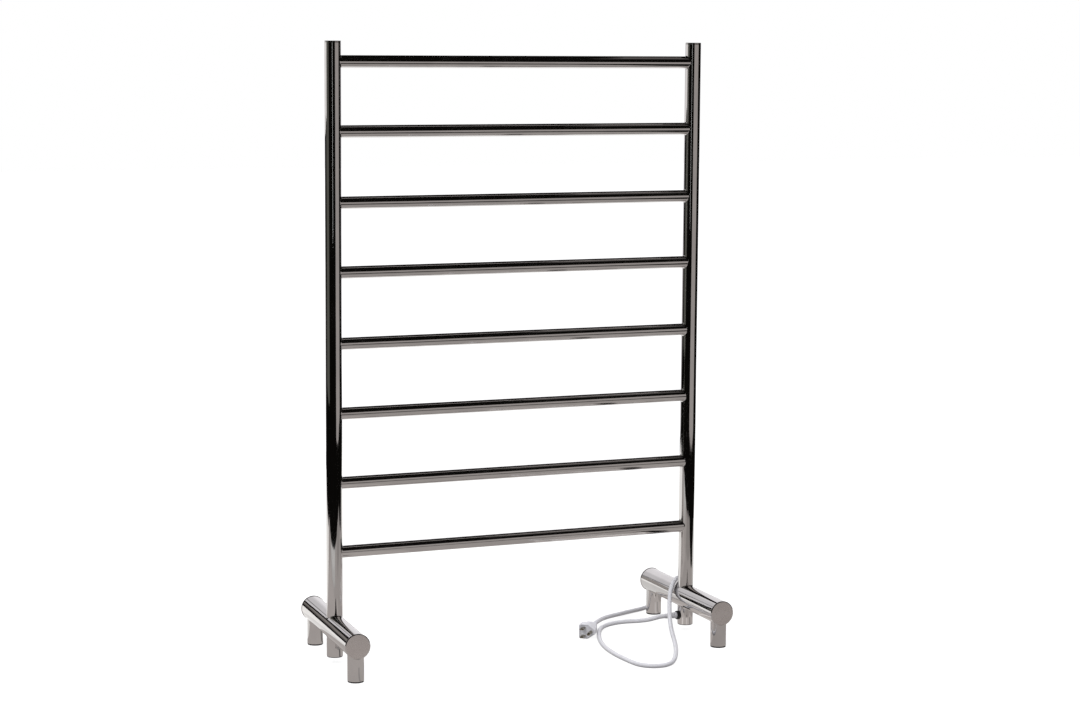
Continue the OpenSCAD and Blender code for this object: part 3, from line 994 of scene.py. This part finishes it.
def make_world():
    """White to the camera, soft light from above on matt surfaces, and a dark studio in reflections."""
    world = bpy.data.worlds.new("studio")
    bpy.context.scene.world = world
    world.use_nodes = True
    nodes = world.node_tree.nodes
    links = world.node_tree.links
    nodes.clear()
    path = nodes.new("ShaderNodeLightPath")
    output = nodes.new("ShaderNodeOutputWorld")

    def background(colour, strength):
        node = nodes.new("ShaderNodeBackground")
        node.inputs["Color"].default_value = (*colour, 1)
        node.inputs["Strength"].default_value = strength
        return node.outputs["Background"]

    def mix(factor, first, second):
        node = nodes.new("ShaderNodeMixShader")
        links.new(factor, node.inputs["Fac"])
        links.new(first, node.inputs[1])
        links.new(second, node.inputs[2])
        return node.outputs["Shader"]

    above = background(*SKY_ABOVE)
    below = background(*SKY_BELOW)
    dark = background(*DARK_STUDIO)
    white = background((1.0, 1.0, 1.0), 1.0)
    direction = nodes.new("ShaderNodeTexCoord")
    split = nodes.new("ShaderNodeSeparateXYZ")
    height = nodes.new("ShaderNodeMapRange")
    height.inputs["From Min"].default_value = SKY_FROM
    height.inputs["From Max"].default_value = SKY_TO
    links.new(direction.outputs["Generated"], split.inputs["Vector"])
    links.new(split.outputs["Z"], height.inputs["Value"])
    soft = mix(height.outputs["Result"], below, above)
    unseen = mix(path.outputs["Is Glossy Ray"], soft, dark)
    links.new(mix(path.outputs["Is Camera Ray"], unseen, white), output.inputs["Surface"])


SOFT_BOX_SIZE = (2.4, 1.8)
SOFT_BOX_WATTS = 30
SOFT_BOX_PLACE = (-1.2, -0.6, 2.1)
# The direction from the rack towards the soft box.
SOFT_BOX_AXIS = (-0.55, -0.15, 0.9)


def make_soft_box():
    """A large soft light over the rack, for the matt pieces."""
    data = bpy.data.lights.new("soft_box", "AREA")
    data.shape = "RECTANGLE"
    data.size, data.size_y = SOFT_BOX_SIZE
    data.energy = SOFT_BOX_WATTS
    light = bpy.data.objects.new("soft_box", data)
    light.matrix_world = frame_from(SOFT_BOX_PLACE, SOFT_BOX_AXIS, (1, 0, 0))
    light.visible_glossy = False
    light.visible_camera = False
    bpy.context.scene.collection.objects.link(light)


# Colours of the cards.
TAUPE = (1.0, 0.93, 0.90)
PALE = (1.0, 0.985, 0.97)
LILAC = (0.99, 0.97, 1.0)
BROWN = (1.0, 0.93, 0.88)
OLIVE = (1.0, 1.0, 0.88)
WARM_WHITE = (1.0, 0.98, 0.97)
COOL_WHITE = (0.97, 1.0, 1.0)
# Colour of the streaks that paint shade and light on the floor round the legs.
SHADE_AND_LIGHT_COLOUR = (1.0, 0.95, 0.93)

LAYER_HEIGHT = 0.5 * MM


def floor_card(name, layer, points, colour, strength):
    """A glowing card on the paper floor that only shows in reflections; its strength paints the light and
    shade on the floor there. A higher layer lies on lower ones.
    """
    reflector(name, [(x, y, layer * LAYER_HEIGHT) for x, y in points], colour, strength)


def make_floor_cards():
    # The cards' strengths paint the light and shade that fall unevenly on the paper floor; paper_back_shade
    # is painted shade.
    sheet = [(-1.30, -0.25), (-1.05, -0.56), (-0.80, -0.76), (-0.42, -0.92), (-0.05, -0.98), (0.20, -1.06),
             (0.66, -0.93), (0.70, -0.35), (0.80, -0.15), (0.86, 0.40), (-1.50, 0.40), (-1.50, 0.0)]
    floor_card("paper", 0, sheet, TAUPE, 0.43)
    front = [(-0.05, -0.98), (0.20, -1.06), (0.66, -0.93), (0.69, -0.55), (-0.05, -0.58)]
    floor_card("paper_front", 1, front, TAUPE, 0.33)
    left = [(-1.10, -0.20), (-0.60, -0.45), (-0.12, -0.45), (-0.12, 0.17), (-0.60, 0.30), (-0.95, 0.30)]
    floor_card("paper_left", 1, left, TAUPE, 0.50)
    band = [(-1.22, -0.30), (-1.05, -0.56), (-0.80, -0.76), (-0.42, -0.92), (-0.42, -0.56), (-0.85, -0.38)]
    floor_card("paper_band", 1, band, PALE, 0.54)
    rim = [(-1.16, -0.38), (-1.05, -0.56), (-0.80, -0.76), (-0.52, -0.86), (-0.52, -0.68), (-0.92, -0.46)]
    floor_card("paper_rim", 2, rim, PALE, 0.64)
    foot = [(0.10, -0.10), (0.40, -0.10), (0.40, 0.17), (0.10, 0.17)]
    floor_card("paper_right_foot", 1, foot, TAUPE, 0.57)
    near = [(-0.44, 0.16), (-0.29, 0.16), (-0.29, 0.30), (-0.44, 0.30)]
    floor_card("paper_left_foot", 2, near, PALE, 0.90)
    right = [(0.45, 0.05), (0.78, -0.08), (1.00, -0.08), (1.25, 0.20), (1.20, 0.41), (0.45, 0.41)]
    floor_card("paper_right", 1, right, PALE, 0.72)
    back = [(-1.35, 0.30), (-0.29, 0.30), (-0.29, 0.17), (0.31, 0.17), (0.31, 0.40), (1.20, 0.40),
            (1.50, 1.75), (-0.75, 1.75), (-1.25, 0.85)]
    floor_card("paper_back", 2, back, PALE, 1.1)
    shade = [(0.14, 0.17), (0.31, 0.17), (0.31, 0.45), (0.02, 0.45)]
    floor_card("paper_back_shade", 3, shade, PALE, 0.78)


# Painted shade and painted light on the floor round the legs: glowing streaks that start under the legs and
# only show in reflections, some darker and some lighter than the cards under them: (direction from +Y
# towards +X, half angle, strength) for each streak, with both angles in degrees.
SHADE_AND_LIGHT_STREAKS = {
    "left_post": [(130, 9, 0.10)],
    "left_back_peg": [(105, 11, 0.18)],
    "left_front_peg": [(62, 11, 0.30), (157, 8, 0.35)],
    "right_post": [(138, 9, 0.32), (184, 8, 0.75), (241, 8, 0.90)],
    "right_back_peg": [(150, 6, 0.36), (181, 10, 0.70)],
}
STREAK_LENGTH = 0.10
STREAK_LAYER = 4


# Lays the glowing streaks of painted shade and painted light round the legs.
def make_shade_and_light_streaks():
    for node, streaks in SHADE_AND_LIGHT_STREAKS.items():
        start = box_centre(node)
        for number, (direction, half, strength) in enumerate(streaks):
            points = [(start.x, start.y)]
            for turn in (math.radians(direction - half), math.radians(direction + half)):
                x = start.x + STREAK_LENGTH * math.sin(turn)
                y = start.y + STREAK_LENGTH * math.cos(turn)
                points.append((x, y))
            # A streak paints shade where it glows dimmer than the card under it, and light where it glows
            # brighter.
            floor_card(f"streak_{node}_{number}", STREAK_LAYER, points, SHADE_AND_LIGHT_COLOUR, strength)


# The backdrop behind the rack: where it stands, how high it is, and its upright strips from left to right as
# (name, left edge, right edge, strength). The strips' strengths paint the light falling unevenly across it,
# and the fold strip is painted shade.
BACKDROP_Y = 1.75
BACKDROP_BOTTOM = 0.04
BACKDROP_TOP = 1.35
BACKDROP_STRIPS = [
    ("backdrop_left", -0.37, 0.05, 0.72),
    ("backdrop_middle", 0.05, 0.20, 0.82),
    ("backdrop_right", 0.20, 2.60, 0.96),
    # painted shade in the backdrop's fold
    ("backdrop_fold", -0.45, -0.37, 0.32),
]
# Its left edge is darker up to this height.
EDGE_LEFT = -0.585
EDGE_RIGHT = -0.45
EDGE_CHANGE = 0.42
# (bottom, top, strength) of the bands of the wall beyond it.
WALL_BANDS = [(0.14, 0.21, 0.08), (0.21, 0.28, 0.18), (0.28, 0.40, 0.27), (0.40, 0.46, 0.17)]
WALL_X = -1.9


def back_card(name, left, right, bottom, top, colour, strength):
    """An upright card in the plane of the backdrop."""
    upright_card(name, (left, BACKDROP_Y), (right, BACKDROP_Y), bottom, top, colour, strength)


def make_back_wall():
    """The dark wall beyond the backdrop's left edge: uneven bands, one above the other."""
    for number, (bottom, top, strength) in enumerate(WALL_BANDS):
        back_card(f"back_wall_{number}", -1.15, -0.67, bottom, top, BROWN, strength)
    back_card("back_wall_top", WALL_X, EDGE_LEFT, 0.74, BACKDROP_TOP, WARM_WHITE, 1.0)
    corner = (WALL_X, BACKDROP_Y)
    upright_card("left_wall_top", (WALL_X, 0.75), corner, 0.77, BACKDROP_TOP, WARM_WHITE, 0.9)


def make_reflectors():
    make_floor_cards()
    make_shade_and_light_streaks()
    make_back_wall()
    for name, left, right, strength in BACKDROP_STRIPS:
        back_card(name, left, right, BACKDROP_BOTTOM, BACKDROP_TOP, LILAC, strength)
    back_card("backdrop_edge_low", EDGE_LEFT, EDGE_RIGHT, BACKDROP_BOTTOM, EDGE_CHANGE, BROWN, 0.38)
    back_card("backdrop_edge_high", EDGE_LEFT, EDGE_RIGHT, EDGE_CHANGE, BACKDROP_TOP, LILAC, 0.78)
    upright_card("front_card", (0.15, -2.0), (1.96, -0.96), 0.03, 0.957, TAUPE, 0.41)
    upright_card("left_wall", (-1.92, 1.1), (-1.92, -0.3), 0.17, 2.2, OLIVE, 0.11)
    upright_card("light_gap", (-1.44, -2.31), (-1.32, -2.31), 0.45, 1.2, COOL_WHITE, 1.0)
    ceiling = [(0.9, -0.8, 2.5), (3.0, -0.8, 2.5), (3.0, 0.6, 2.5), (0.9, 0.6, 2.5)]
    reflector("ceiling_card", ceiling, TAUPE, 0.12)


bpy.context.scene.view_settings.view_transform = "Standard"
make_floor()
make_world()
make_soft_box()
make_reflectors()
